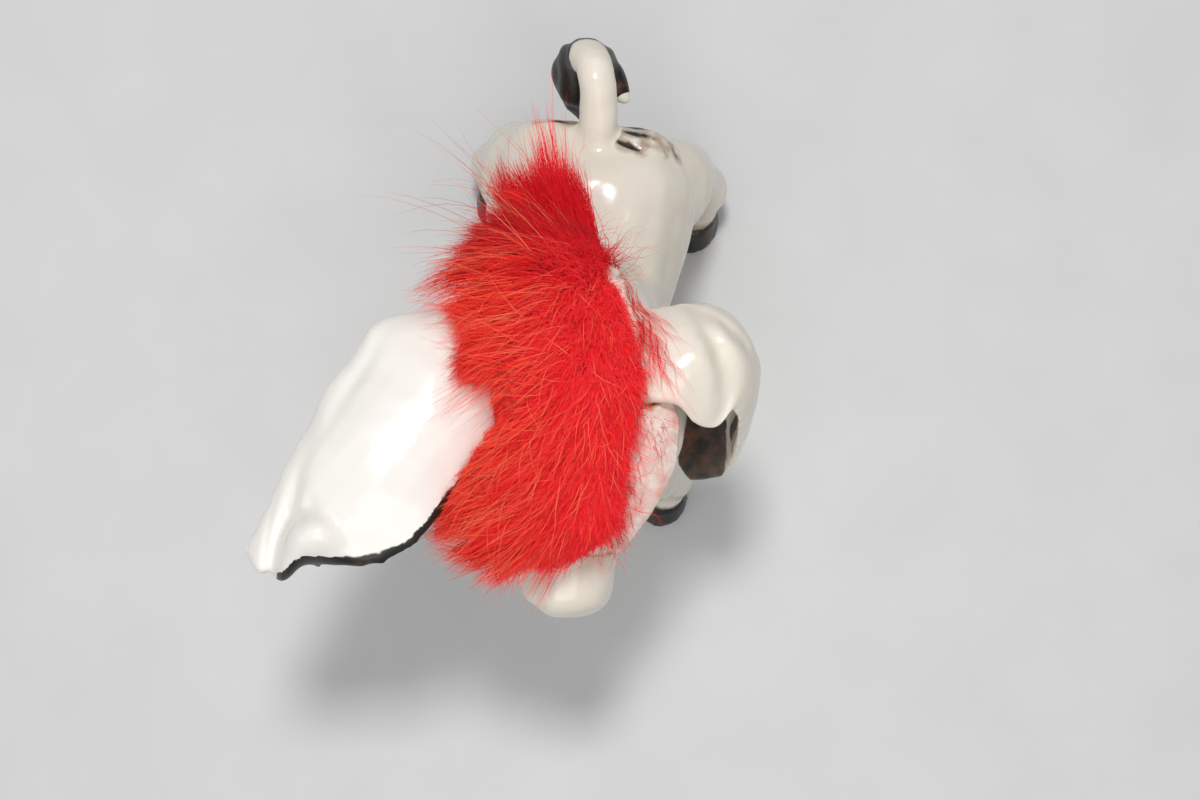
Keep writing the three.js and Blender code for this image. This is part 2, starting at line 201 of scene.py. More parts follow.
def mesh_from(name, points, faces):
    """Blender mesh from points in mm and faces with equally many corners."""
    mesh = bpy.data.meshes.new(name)
    count, size = faces.shape
    mesh.vertices.add(len(points))
    mesh.vertices.foreach_set("co", (points * MM).astype(np.float32).ravel())
    mesh.loops.add(count * size)
    mesh.loops.foreach_set("vertex_index", faces.astype(np.int32).ravel())
    mesh.polygons.add(count)
    mesh.polygons.foreach_set("loop_start", np.arange(0, count * size, size, dtype=np.int32))
    mesh.update(calc_edges=True)
    return mesh


def add_object(name, data):
    added = bpy.data.objects.new(name, data)
    bpy.context.scene.collection.objects.link(added)
    return added


def through_modifier(points, faces, kind, **settings):
    """Points and quads of a mesh after one modifier."""
    shape = add_object("work", mesh_from("work", points, faces))
    modifier = shape.modifiers.new("work", kind)
    for key, value in settings.items():
        setattr(modifier, key, value)
    made = shape.evaluated_get(bpy.context.evaluated_depsgraph_get()).to_mesh()
    new_points = mesh_points(made)
    corners = np.empty(len(made.loops), np.int32)
    made.loops.foreach_get("vertex_index", corners)
    bpy.data.objects.remove(shape)
    return new_points, corners.reshape(-1, 4)


def joined(parts):
    offsets = np.cumsum([0] + [len(points) for points, _ in parts[:-1]])
    points = np.concatenate([points for points, _ in parts])
    return points, np.concatenate([faces + offset for (_, faces), offset in zip(parts, offsets)])


def soften(values, faces, rounds):
    """Vertex values, or columns of them, averaged over the faces around each vertex."""
    if values.ndim == 2:
        return np.stack([soften(column, faces, rounds) for column in values.T], axis=1)
    around = np.maximum(np.bincount(faces.ravel(), minlength=len(values)), 1)
    for _ in range(rounds):
        face_mean = np.repeat(values[faces].mean(1), faces.shape[1])
        values = np.bincount(faces.ravel(), face_mean, len(values)) / around
    return values


def relaxed(points, faces, rounds, share=1.0):
    """Smoothing that keeps the volume; share says how much each vertex takes part."""
    count = len(points)
    start = faces.T.ravel()
    end = np.roll(faces, -1, axis=1).T.ravel()
    degree = 2 * np.bincount(start, minlength=count)[:, None]
    share = np.reshape(share, (-1, 1))
    points = points.copy()
    for step in (SMOOTH_IN, SMOOTH_OUT) * rounds:
        total = [
            np.bincount(start, column[end], count) + np.bincount(end, column[start], count)
            for column in points.T]
        points += step * share * (np.stack(total, 1) / degree - points)
    return points


def float_attribute(mesh, name, values):
    mesh.attributes.new(name, "FLOAT", "POINT").data.foreach_set("value", values.astype(np.float32))


def add_piece(name, mesh, materials, nodes):
    piece = add_object(name, mesh)
    for material in materials:
        mesh.materials.append(material)
    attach(piece, "root")
    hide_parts(*nodes)


def nearest_distances(places, points):
    """Distance of each point from the nearest of the places, and that place's number."""
    tree = KDTree(len(places))
    for index, place in enumerate(places):
        tree.insert(place, index)
    tree.balance()
    _, numbers, distances = zip(*(tree.find(point) for point in points))
    return np.array(distances), np.array(numbers)


def surface_tree(points, faces):
    return BVHTree.FromPolygons(points.tolist(), faces.tolist())


# Ceramic skin: one fired body, later shared out to the castings that it replaces

def nearest_nodes(points):
    """Number of the casting nearest to each point."""
    parts = [node_mesh(name) for name in CERAMIC_NODES]
    owner = np.concatenate([np.full(len(faces), index) for index, (_, faces) in enumerate(parts)])
    tree = surface_tree(*joined(parts))
    return np.array([owner[tree.find_nearest(point)[2]] for point in points])


def owned(owner, *names):
    """Which vertices belong to the named castings."""
    return np.isin(owner, [CERAMIC_NODES.index(name) for name in names])


def vent_plug():
    """Ball in the belly's vent, which keeps the skin out of the hollow behind it."""
    ball = bmesh.new()
    bmesh.ops.create_icosphere(ball, subdivisions=2, radius=VENT_PLUG_RADIUS)
    middle = np.array([BODY[0], BODY[1], node_box("torso_shell")[0][2] + VENT_PLUG_HEIGHT])
    points = np.array([vertex.co[:] for vertex in ball.verts]) + middle
    faces = np.array([[vertex.index for vertex in face.verts] for face in ball.faces])
    ball.free()
    return points, faces


def ceramic_skin():
    parts = [node_mesh(name) for name in CERAMIC_NODES]
    parts = [(points + JOIN_SWELL * vertex_normals(points, faces), faces) for points, faces in parts]
    points, faces = joined(parts + [vent_plug()])
    points, faces = through_modifier(points, faces, "REMESH", mode="VOXEL", voxel_size=SKIN_VOXEL * MM)
    nearest = nearest_nodes(points)
    haunch = owned(nearest, *LEG_NODES) & (points[:, 2] > HAUNCH_HEIGHT)
    bulk = owned(nearest, "torso_shell", "head_shell") | haunch
    points = relaxed(points, faces, LIMB_SMOOTHING)
    points = relaxed(points, faces, BODY_SMOOTHING - LIMB_SMOOTHING, soften(bulk.astype(float), faces, 4))
    chest = bell(norms((points - BODY - CHEST) / CHEST_SIZE), 1)
    points = relaxed(points, faces, CHEST_SMOOTHING, chest)
    points = points - JOIN_SWELL * vertex_normals(points, faces)
    return through_modifier(points, faces, "SUBSURF", levels=1, render_levels=1)


def groove(points, line, depth, width, ends=(0.2, 0.2)):
    """A groove along a polyline, deepest in its middle; ends are shares of the depth at its ends."""
    distance, along = line_distance(points, line)
    return -depth * bell(distance, width) * np.interp(along, [0, 0.5, 1], [ends[0], 1, ends[1]])


# Right ear, in plan from the skull: creases along its upper face (line, depth, width, ends), and places
# that are drawn out (place, radius, move)
RIGHT_EAR_CREASES = (
    ([(-57, -28), (-59.5, -39), (-62.3, -49), (-64, -54), (-64.3, -63)], 1.9, 2.2, (0, 1)),
    ([(-66, -44), (-67, -60)], 0.6, 0.9, (0, 0.4)),
    ([(-36, 1), (-45, -11), (-51, -22), (-55, -30)], 0.9, 1.8, (0.2, 0)),
    ([(-64, -52), (-60.5, -46.5), (-55, -44), (-49.5, -46), (-44.5, -51)], 2.1, 2.4, (0.6, 0.2)),
)
RIGHT_EAR_NUDGES = (
    ((-68, -54.5), 4, (0.8, -5.2, 0)), ((-61, -58), 4.4, (0.3, -5.8, -2.2)),
    ((-57, -52), 5.5, (0, 0, 3.2)), ((-51, -50.5), 5.5, (0, 0, 3.0)),
    ((-67, -45), 10, (1.6, 0, 0)), ((-32, -51), 8, (4.2, -0.5, 0)),
    ((-27, -43), 8, (2, 0, 0)), ((-40, -1), 9, (-4.5, 2.5, 0)), ((-52, -14), 9, (-2.2, 1, 0)),
)
# Left ear, along the head's axes: folds over the bend, given as the creases are, and the lip's middle
LEFT_EAR_FOLDS = (
    ([(-14, 31, 11), (-7, 35, 17), (0, 39.5, 18.5), (5, 40, 18.5), (9, 35, 20)], 2.5, 3.2, (0.8, 0.1)),
    ([(-13, 36, 12.5), (-9, 42, 12.5), (-4, 47.5, 9.5), (3, 50, 3)], 2.2, 3.0, (0.7, 0.2)),
)
LEFT_EAR_LIP = (8, 35, 19)
# From the middle of the body: the dark tuft's full right side, the bare knob on its left, the rump's left
# bulge, and brush strokes in relief beside the tail (width, line)
TUFT_SIDE = (-9, 60, -10)
TAIL_KNOB = (4.4, 66, -4.5)
TAIL_KNOB_MOVE = (4.6, -6, 0)
RUMP = (17, 47, 1)
RUMP_STROKES = (
    (0.9, [(5.6, 46.6, 10.2), (8.4, 45.8, 10.0), (11.6, 44.9, 9.6)]),
    (0.8, [(7.5, 50, 8.8), (11, 49.4, 8.2), (15.5, 48.6, 6.8), (18.5, 47.5, 5)]),
    (0.7, [(16, 50.5, 4.5), (19, 48.5, 3.5), (21.5, 46, 2.5)]),
    (1.0, [(5.5, 53, 6.8), (9.5, 52.8, 5.5), (13, 52, 4.5)]),
    (0.5, [(12.5, 47.2, 8.2), (15, 46.8, 7.3), (18, 46.2, 5.6)]),
    (0.6, [(-6.5, 52, 7), (-11, 51.3, 6), (-16, 49.3, 4.5)]),
)


def right_ear_shape(points):
    """Moves of the level ear: rolled outer edge, curled lobe and mound at the tip, squarer end."""
    level = (points - SKULL) * (1, 1, 0)
    plan = level[:, :2]
    move = np.zeros_like(points)
    for place, radius, nudge in RIGHT_EAR_NUDGES:
        move += bell(norms(plan - place), radius)[:, None] * nudge
    for crease in RIGHT_EAR_CREASES:
        move[:, 2] += groove(plan, *crease)
    move[:, 2] += 0.3 * waves(level, 17, 3)
    return move


def left_ear_shape(head):
    """Moves of the flopped ear: long folds over the bend and a drooping lip."""
    folds = sum(groove(head, *fold) for fold in LEFT_EAR_FOLDS)
    lip = np.exp(-(norms(head - LEFT_EAR_LIP) / 6) ** 3)
    return np.stack([6.5 * lip, folds * 0.6, folds - 3.2 * lip], 1)


def from_eye(head, length, height=1.0):
    """Distance from the nearer eye's middle, in units of the given length and height."""
    return np.hypot((head[:, 0] - EYE_AHEAD) / length, (head[:, 2] - EYE_UP) / height)


def from_nostril(head, narrow=1.0):
    """Distance from the nearer nostril's middle; narrow squeezes it from the sides."""
    beside = (np.abs(head[:, 1]) - NOSTRIL_SIDE) * narrow
    return np.hypot(head[:, 0] - NOSTRIL_AHEAD, np.hypot(beside, head[:, 2] - NOSTRIL_UP))


def from_mouth(head):
    """Height above the curved line of the mouth."""
    return head[:, 2] + 10 + 0.02 * (head[:, 0] - 60) ** 2


def face_shape(head):
    """Swellings and hollows of the face, along the normals."""
    ahead, side, up = head.T
    socket = 1.3 * np.clip(1 - from_eye(head, 6.5, 4.5) ** 2, 0, 1)
    brow = 0.9 * bell(np.hypot((ahead - 24) / 8, (up - 2.5) / 2.2), 1)
    cheek = 0.8 * bell(np.hypot((ahead - 12) / 12, (up + 9) / 7), 1)
    nostrils = 1.5 * bell(from_nostril(head), 1.9)
    mouth = 0.8 * bell(from_mouth(head), 0.8) * fade(44, 52, ahead)
    taper = 1.8 * fade(44, 62, ahead) * fade(-2, -9, side)
    return np.where(np.abs(side) > EYE_SIDE, socket + brow + cheek, 0) - nostrils - mouth - taper


def torso_shape(points, body):
    """Vent, brush strokes, rump and dents of the torso, along the normals."""
    swell = -2.5 * bell(np.hypot(body[:, 0], body[:, 1]), VENT_RADIUS) * (body[:, 2] < BELLY)
    for _, stroke in RUMP_STROKES:
        distance, _ = line_distance(body, stroke)
        swell += 0.25 * (bell(distance - 1.6, 0.9) - bell(distance, 0.9))
    left_half = np.abs(body * (1, 0, 0)) + body * (0, 1, 1)
    swell += 2.5 * bell(norms(left_half - RUMP), 10)
    dents = 0.3 * waves(points * (1, 0.3, 0.6), 9, 77, 5)
    return swell + dents * fade(4, 14, body[:, 0]) * fade(-8, 2, body[:, 2])


def tail_shape(body):
    """Ridges of the tail's tuft and its full side, along the normals."""
    tuft = fade(62, 66, body[:, 1]) * fade(12, 2, body[:, 2])
    ridges = 0.35 * np.sin(body[:, 0] * 1.5 + 0.12 * body[:, 2])
    return tuft * ridges + 3.0 * bell(norms(body - TUFT_SIDE), 7)


def sculpted(points, faces, owner):
    """The skin with the modelled detail of each casting."""
    part = {name: soften(owned(owner, name).astype(float), faces, 3) for name in CERAMIC_NODES}
    head = in_head(points)
    body = points - BODY
    flank = part["torso_shell"] + part["hind_left_leg"] + part["hind_right_leg"]
    swell = flank * 0.5 * waves(points * (1, 0.45, 0.8), 15, 21) + 0.12 * waves(points, 9, 8)
    swell += part["head_shell"] * face_shape(head)
    swell += part["torso_shell"] * torso_shape(points, body)
    swell += part["tail"] * tail_shape(body)
    for leg in LEG_NODES:
        swell -= part[leg] * 0.5 * bell(points[:, 2] - HOOF_PAINT, 0.8)
    moved = points + swell[:, None] * vertex_normals(points, faces)
    knob = part["tail"] * bell(norms(body - TAIL_KNOB), 4)
    moved += knob[:, None] * TAIL_KNOB_MOVE
    moved += part["right_ear"][:, None] * right_ear_shape(points)
    moved += part["left_ear"][:, None] * (left_ear_shape(head) @ HEAD_AXES.T)
    moved[:, 2] = np.where(points[:, 2] < SOLE_HEIGHT, points[:, 2], moved[:, 2])
    return relaxed(moved, faces, EAR_SMOOTHING, part["right_ear"] + part["left_ear"])


# Paint

def painted(points, faces, normals, owner):
    """Paint of each vertex: depth inside black, brown and glint patches in mm, 0 to 1 of the rest."""
    body = points - BODY
    head = in_head(points)
    black, brown, glint = np.full((3, len(points)), BARE)
    legs = owned(owner, *LEG_NODES)
    black[legs] = HOOF_PAINT - points[legs, 2]
    brown[legs] = black[legs] + 1.2
    tail = owned(owner, "tail")
    black[tail] = tuft_paint(body[tail])
    torso = owned(owner, "torso_shell")
    black[torso], brown[torso] = torso_paint(body[torso])
    face = owned(owner, "head_shell")
    black[face], brown[face], glint[face] = face_paint(head[face])
    right_ear = owned(owner, "right_ear")
    black[right_ear] = right_ear_paint(points, faces, normals, right_ear)
    left_ear = owned(owner, "left_ear")
    black[left_ear] = left_ear_paint(head[left_ear], unit(soften(normals, faces, 5))[left_ear])
    return {
        "black_paint_and_vent_shade": black, "brown_paint": brown, "glint": glint,
        # painted light: the right ear's glaze is made lighter than the rest and kept free of pooled glaze
        # and dye
        "pooled": pooled(points, faces, normals) * ~right_ear,
        "dye": dye(points) * ~right_ear,
        "painted_ear_light": soften(right_ear.astype(float), faces, 12),
        "rust": left_ear.astype(float),
    }


def tuft_paint(body):
    """Black of the tail's tuft, with the knob left bare."""
    knob = bell(norms(body - TAIL_KNOB - TAIL_KNOB_MOVE), 5)
    return np.minimum(12.6 - body[:, 2], body[:, 1] - 57.5) - 20 * knob


def torso_paint(body):
    """Black and brown of the tapering strokes on the rump, and painted shade in the vent: black where the
    open hole would be dark.
    """
    black, brown = np.full((2, len(body)), BARE)
    for width, stroke in RUMP_STROKES:
        distance, along = line_distance(body, stroke)
        tapering = width * (0.4 + 0.8 * np.sin(np.pi * along))
        black = np.maximum(black, 1.3 * (tapering - distance))
        brown = np.maximum(brown, width + 1.1 - distance)
    # painted shade: the vent's hole is closed by a plug and painted black where the hole would be dark
    vent = VENT_RADIUS * 0.8 - np.hypot(body[:, 0], body[:, 1])
    return np.where(body[:, 2] < BELLY, vent, black), brown


def face_paint(head):
    """Black of eyes, lashes, nostrils and mouth, brown around the eyes, and painted highlights in them."""
    ahead, side, up = head.T
    eye = from_eye(head, 1.5)
    lash = 0.7 - np.abs(from_eye(head, 1.45) - 4.2) - np.clip(EYE_UP - up, 0, 9)
    dab = 0.9 - np.hypot(ahead - EYE_AHEAD - 1.6, up - EYE_UP - 1.4)
    beside = np.abs(side) > EYE_SIDE
    eyes, brown, glint = np.where(beside, [np.maximum(3.2 - eye, lash), 5.2 - eye, dab], BARE)
    mouth = np.where(ahead > 48, 0.35 - np.abs(from_mouth(head)), BARE)
    black = np.maximum.reduce([eyes, mouth, 2.0 - from_nostril(head, 1.5)])
    return np.maximum(black, BARE), np.maximum(brown, BARE), glint


def right_ear_paint(points, faces, normals, ear):
    """Black under the ear, showing as a band along its blunt end and a line along its inner edge."""
    own = np.flatnonzero(ear)
    rim = own[np.abs(normals[own, 2]) < 0.3]
    distance, nearest = nearest_distances(points[rim] * (1, 1, 0), points[own] * (1, 1, 0))
    place = points[rim[nearest]] - SKULL
    faces_way = normals[rim[nearest]]
    end_width = np.interp(place[:, 0], [-60, -52, -47, -45, -36, -31], [1.0, 0.5, 1.7, 2.0, 2.2, 1.3])
    ahead = (faces_way[:, 1] < -0.45) & (place[:, 0] > -62) & (place[:, 0] < -27)
    inner = (faces_way[:, 0] > 0.3) & (place[:, 1] < -21)
    turned = soften(normals[:, 2], faces, 2)[own]
    line = np.interp(place[:, 1], [-48, -40, -34, -25, -22], [0.95, 0.85, 0.55, 0.4, -0.5]) - turned
    way_under = np.where((ahead | inner) & (distance < 1.6), 8 * line, 4 * (-0.45 - turned))
    return np.clip(np.maximum(way_under, np.where(ahead, 2 * (end_width - distance), BARE)), -3, 3)


def left_ear_paint(head, normals):
    """Dark inside of the hanging ear, and the dark spot beside its lip."""
    hang = fade(18, -12, head[:, 2])[:, None]
    backs = unit(np.array([-0.25, 0.1, 1.0]) * (1 - hang) + np.array([-0.45, 1.0, -0.1]) * hang)
    turned_in = -6 * ((normals @ HEAD_AXES * backs).sum(1) + 0.12)
    inside = np.minimum.reduce([turned_in, 11 - head[:, 2], 2 * (41 - head[:, 1])])
    spot, _ = line_distance(head, [(14, 42.5, -5), (18, 42, -14)])
    return np.maximum(inside, 2.2 - spot)


def pooled(points, faces, normals):
    """0 to 1 where glaze has run together in hollows."""
    hollow = ((soften(points, faces, 1) - points) * normals).sum(1)
    return fade(0.004, 0.03, soften(hollow, faces, 4))


def dye(points):
    """0 to 1 where the red of the fur has stained the glaze."""
    tree = surface_tree(*node_mesh("mane_hide"))
    near = [tree.find_nearest(point, DYE_REACH)[3] for point in points]
    return fade(9, 1, np.array([DYE_REACH if distance is None else distance for distance in near]))


def make_ceramic():
    points, faces = ceramic_skin()
    owner = nearest_nodes(points)
    points = sculpted(points, faces, owner)
    normals = vertex_normals(points, faces)
    paint = painted(points, faces, normals, owner)
    painted_glaze = new_material("painted_glaze", glaze, 0.38, 0.25)
    tail_glaze = new_material("tail_glaze", glaze, 0.2, 0.06)
    for name in CERAMIC_NODES:
        own_faces = faces[owned(owner, name)[faces[:, 0]]]
        used, renumbered = np.unique(own_faces, return_inverse=True)
        mesh = mesh_from(name + "_glaze", points[used], renumbered.reshape(-1, 4))
        for key, values in paint.items():
            float_attribute(mesh, key, values[used])
        mesh.shade_smooth()
        mesh.normals_split_custom_set_from_vertices(normals[used].tolist())
        material = tail_glaze if name == "tail" else painted_glaze
        add_piece(name + "_glaze", mesh, [material], [name])
    return points, faces, owner


# Materials

def fill(tree, node, inputs):
    """Gives each named input of a node a value or another node's output."""
    for socket, value in inputs.items():
        if isinstance(value, bpy.types.NodeSocket):
            tree.links.new(value, node.inputs[socket])
        else:
            node.inputs[socket].default_value = value


def add_node(tree, kind, inputs, **settings):
    node = tree.nodes.new("ShaderNode" + kind)
    for key, value in settings.items():
        setattr(node, key, value)
    fill(tree, node, inputs)
    return node


def new_material(name, look, *values):
    """A material with the shader inputs that look makes in its node tree."""
    material = bpy.data.materials.new(name)
    material.use_nodes = True
    tree = material.node_tree
    fill(tree, tree.nodes["Principled BSDF"], look(tree, *values))
    return material


def noise(tree, scale, detail=3.0, stretch=(1, 1, 1)):
    """Noise in the object's space; scale is in features per metre."""
    place = add_node(tree, "TexCoord", {}).outputs["Object"]
    place = add_node(tree, "Mapping", {"Vector": place, "Scale": stretch}).outputs["Vector"]
    inputs = {"Vector": place, "Scale": scale, "Detail": detail}
    return add_node(tree, "TexNoise", inputs).outputs["Fac"]


def mottled(tree, stops, *noise_values):
    """Noise in colours; stops are its levels and their colours."""
    node = add_node(tree, "ValToRGB", {"Fac": noise(tree, *noise_values)})
    elements = node.color_ramp.elements
    while len(elements) < len(stops):
        elements.new(0.5)
    for element, (position, colour) in zip(elements, stops):
        element.position = position
        element.color = (*colour, 1)
    return node.outputs["Color"]


def ranged(tree, source, low, high, to_low=0.0, to_high=1.0):
    limits = {"From Min": low, "From Max": high, "To Min": to_low, "To Max": to_high}
    return add_node(tree, "MapRange", {"Value": source, **limits}).outputs["Result"]


def calculated(tree, first, second, operation="MULTIPLY"):
    return add_node(tree, "Math", {0: first, 1: second}, operation=operation).outputs[0]


def mixed(tree, factor, first, second):
    """Colour between two; those of a Mix node are its inputs 6 and 7 and its output 2."""
    if isinstance(second, tuple):
        second = (*second, 1)
    return add_node(tree, "Mix", {0: factor, 6: first, 7: second}, data_type="RGBA").outputs[2]


def attribute(tree, name):
    return add_node(tree, "Attribute", {}, attribute_name=name).outputs["Fac"]


def brushed(tree, name, ragged, scale, softness=0.4):
    """0 to 1 mask of a painted patch, whose edge wanders by ragged mm."""
    wander = ranged(tree, noise(tree, scale, 4), 0.25, 0.75, -ragged, ragged)
    return ranged(tree, calculated(tree, attribute(tree, name), wander, "ADD"), -softness, softness)


def bump(tree, distance, *noise_values):
    inputs = {"Height": noise(tree, *noise_values), "Strength": 0.5, "Distance": distance * MM}
    return add_node(tree, "Bump", inputs).outputs["Normal"]


# Colours of the paints, the leather, the glue and the floor
CREAM = ((0.35, (0.72, 0.66, 0.555)), (0.62, (0.80, 0.75, 0.65)))
# lighter glaze of the right ear: painted light
EAR_PAINTED_LIGHT = (0.84, 0.81, 0.755)
POOLED_GLAZE = (0.70, 0.55, 0.33)
DYED_GLAZE = (0.84, 0.36, 0.33)
# black paint, also used as painted shade in the belly's vent
INK_AND_VENT_SHADE = ((0.42, (0.009, 0.010, 0.010)), (0.60, (0.025, 0.018, 0.014)), (0.74, (0.13, 0.06, 0.035)))
RUST = (0.17, 0.066, 0.038)
BROWN_WASH = (0.30, 0.19, 0.12)
GLINT_WHITE = (0.88, 0.86, 0.8)
LEATHER = ((0.35, (0.78, 0.58, 0.50)), (0.6, (0.86, 0.76, 0.68)))
DYED_LEATHER = (0.80, 0.20, 0.18)
LEATHER_UNDER_FUR = (0.50, 0.012, 0.022)
CUT_EDGE = (0.46, 0.25, 0.12)
GLUE = ((0.3, (0.62, 0.50, 0.28)), (0.7, (0.74, 0.64, 0.42)))
FLOOR = ((0.3, (0.64, 0.64, 0.635)), (0.7, (0.67, 0.67, 0.665)))
# Colour of each kind of hair near its root and over the rest of its length; the darker colour near the root
# is painted shade deep in the fur
FUR_SHADES = {
    # deep: a darker red, partly the fur's own tone and partly painted shade of the gaps between locks
    "deep": ((0.28, 0.002, 0.006), (0.70, 0.006, 0.014)),
    "red": ((0.60, 0.004, 0.010), (0.97, 0.010, 0.020)),
    "bright": ((0.80, 0.010, 0.020), (1.0, 0.022, 0.032)),
    # rose: painted light, the lighter pink of fur that faces the light
    "rose": ((0.92, 0.020, 0.030), (1.0, 0.058, 0.066)),
    "orange": ((0.62, 0.014, 0.011), (1.0, 0.072, 0.033)),
    "amber": ((0.75, 0.040, 0.022), (1.0, 0.175, 0.095)),
}


def glaze(tree, specular, coat):
    # painted light: the right ear is mixed towards a lighter colour than the rest of the glaze
    cream = mixed(tree, attribute(tree, "painted_ear_light"), mottled(tree, CREAM, 40, 4), EAR_PAINTED_LIGHT)
    cream = mixed(tree, calculated(tree, attribute(tree, "pooled"), 0.35), cream, POOLED_GLAZE)
    blotches = ranged(tree, noise(tree, 160, 4), 0.42, 0.72, 0, 0.75)
    cream = mixed(tree, calculated(tree, attribute(tree, "dye"), blotches), cream, DYED_GLAZE)
    wash = calculated(tree, brushed(tree, "brown_paint", 1.4, 260, 0.9), 0.7)
    cream = mixed(tree, wash, cream, BROWN_WASH)
    streaks = ranged(tree, noise(tree, 210, 4, (1, 1, 0.2)), 0.47, 0.66, 0, 0.9)
    rust = calculated(tree, attribute(tree, "rust"), streaks)
    ink_and_vent_shade = mixed(tree, rust, mottled(tree, INK_AND_VENT_SHADE, 240, 5, (1, 1, 0.25)), RUST)
    black = brushed(tree, "black_paint_and_vent_shade", 0.8, 330)
    colour = mixed(tree, black, cream, ink_and_vent_shade)
    return {
        "Base Color": mixed(tree, brushed(tree, "glint", 0.1, 300, 0.1), colour, GLINT_WHITE),
        "Roughness": ranged(tree, black, 0, 1, 0.22, 0.42), "Normal": bump(tree, 0.25, 170),
        "Specular IOR Level": specular, "Coat Weight": coat, "Coat Roughness": 0.08}


def leather(tree):
    stain = ranged(tree, noise(tree, 110, 4), 0.48, 0.70, 0, 0.6)
    skin = mixed(tree, stain, mottled(tree, LEATHER, 300, 5), DYED_LEATHER)
    skin = mixed(tree, brushed(tree, "furred", 1.0, 500, 1.2), skin, LEATHER_UNDER_FUR)
    skin = mixed(tree, brushed(tree, "rim", 0.6, 400, 0.5), skin, CUT_EDGE)
    return {"Base Color": skin, "Roughness": 0.62, "Normal": bump(tree, 0.3, 900, 4)}


def glue(tree):
    return {"Base Color": mottled(tree, GLUE, 250), "Roughness": 0.3, "Normal": bump(tree, 0.2, 420)}


def floor_paint(tree):
    return {"Base Color": mottled(tree, FLOOR, 30), "Roughness": 0.7}


def fur(_, colour):
    return {"Base Color": (*colour, 1), "Roughness": 0.6, "Specular IOR Level": 0.1}


# Mane

# Outline of the fur in the photograph, as (y, x) from the skull: tips on the right, dense edge on the left
TIP_LINE = (
    (-60, -14), (-54.7, -24.6), (-47.8, -28), (-20, -28), (-17.4, -20), (-12.9, -24), (-6.8, -25.5),
    (0.2, -30), (5, -36), (7.5, -42), (11.9, -38.5), (20.2, -32), (29.5, -28.5), (38.7, -24.5), (48.5, -20),
    (53, -15))
DENSE_LINE = (
    (-52, 2), (-46.7, 11), (-43, 16), (-36, 16.6), (-28, 17), (-18, 17), (-14.5, 18), (-11.7, 20.6),
    (-7.5, 20.6), (-1.5, 17.6), (4.5, 14.5), (10.8, 11.5), (16.7, 8.3), (22, 7.6), (26.9, 5), (32.8, 0.6),
    (38, -4.6), (42.6, -4), (50.1, -4))
# Front end of the fur over the nose, as (x, y) from the skull
FRONT_LINE = ((-28, -56), (-17, -58), (-10, -56), (-5, -52), (5, -50), (12, -48), (17, -44), (21, -38))
# Line of the hair along the hide's left edge, as (x, y) from the skull
EDGE_LINE = ((9.5, 20), (14, 13.5), (17.5, 7.5), (20.5, 0), (23, -7), (26, -14), (28.5, -20))


def outline_at(line, y):
    """The outline's x in the frame at a y of the frame."""
    return SKULL[0] + np.interp(y - SKULL[1], *np.array(line).T)


class Hide:
    """The leather strip's upper face, where hair grows."""

    def __init__(self, skin_tree):
        points, faces = node_mesh("mane_hide")
        a, b, c = self.corners = [points[faces[:, corner]] for corner in range(3)]
        cross = np.cross(b - a, c - a)
        centres = (a + b + c) / 3
        outward = centres - np.array([skin_tree.find_nearest(centre)[0] for centre in centres])
        self.normals = unit(cross)
        top = (unit(outward) * self.normals).sum(1) > 0.6
        top &= norms(outward) > 1.9
        self.chance = np.where(top, norms(cross), 0)
        self.chance /= self.chance.sum()
        self.rows = np.linspace(points[:, 1].min() + 1, points[:, 1].max() - 1, 24)
        upper = centres[top]
        near = [upper[np.abs(upper[:, 1] - row) < 4, 0] for row in self.rows]
        self.left_edge = [row.max() for row in near]
        self.right_edge = [row.min() for row in near]
        self.skin_tree = skin_tree

    def roots(self, rng, count):
        chosen = rng.choice(len(self.chance), count, p=self.chance)
        u, v = rng.random((2, count, 1))
        outside = (u + v) > 1
        u, v = np.where(outside, 1 - u, u), np.where(outside, 1 - v, v)
        a, b, c = (corner[chosen] for corner in self.corners)
        return Roots(self, a * (1 - u - v) + b * u + c * v, self.normals[chosen])


class Roots:
    """Roots of hairs; across is -1 at the hide's right edge to 1 at its left one."""

    def __init__(self, hide, places, normals):
        left = np.interp(places[:, 1], hide.rows, hide.left_edge)
        right = np.interp(places[:, 1], hide.rows, hide.right_edge)
        self.hide, self.places, self.normals, self.count = hide, places, normals, len(places)
        self.across = (places[:, 0] * 2 - left - right) / (left - right)
        self.from_edge = left - places[:, 0]
        self.back = places[:, 1] - SKULL[1]

    def only(self, kept):
        return Roots(self.hide, self.places[kept], self.normals[kept])

    def within(self, margin):
        """Which roots lie inside the fur's dense edge moved out by a margin."""
        return self.places[:, 0] < outline_at(DENSE_LINE, self.places[:, 1]) + margin

    def on_neck(self):
        """0 on the head to 1 on the neck."""
        return fade(15, 23, self.back)


def grown(rng, roots, first, last, length, curl):
    """Points along hairs that start along first, end along last, and curl on the way."""
    t = ALONG_HAIR[:, None]
    sweep = first[:, None] * (t - t ** 2 / 2) + last[:, None] * t ** 2 / 2
    paths = roots.places[:, None] + length[:, None, None] * sweep
    helper = unit(np.cross(last, rng.normal(size=(roots.count, 3))))
    other = np.cross(unit(last), helper)
    turns = rng.uniform(0.6, 1.3, roots.count)[:, None] * ALONG_HAIR
    turns = turns + rng.random((roots.count, 1))
    angle = (turns * 2 * math.pi)[..., None]
    size = (curl * rng.uniform(0.3, 1.0, roots.count))[:, None, None] * t
    return paths + size * (np.cos(angle) * helper[:, None] + np.sin(angle) * other[:, None])


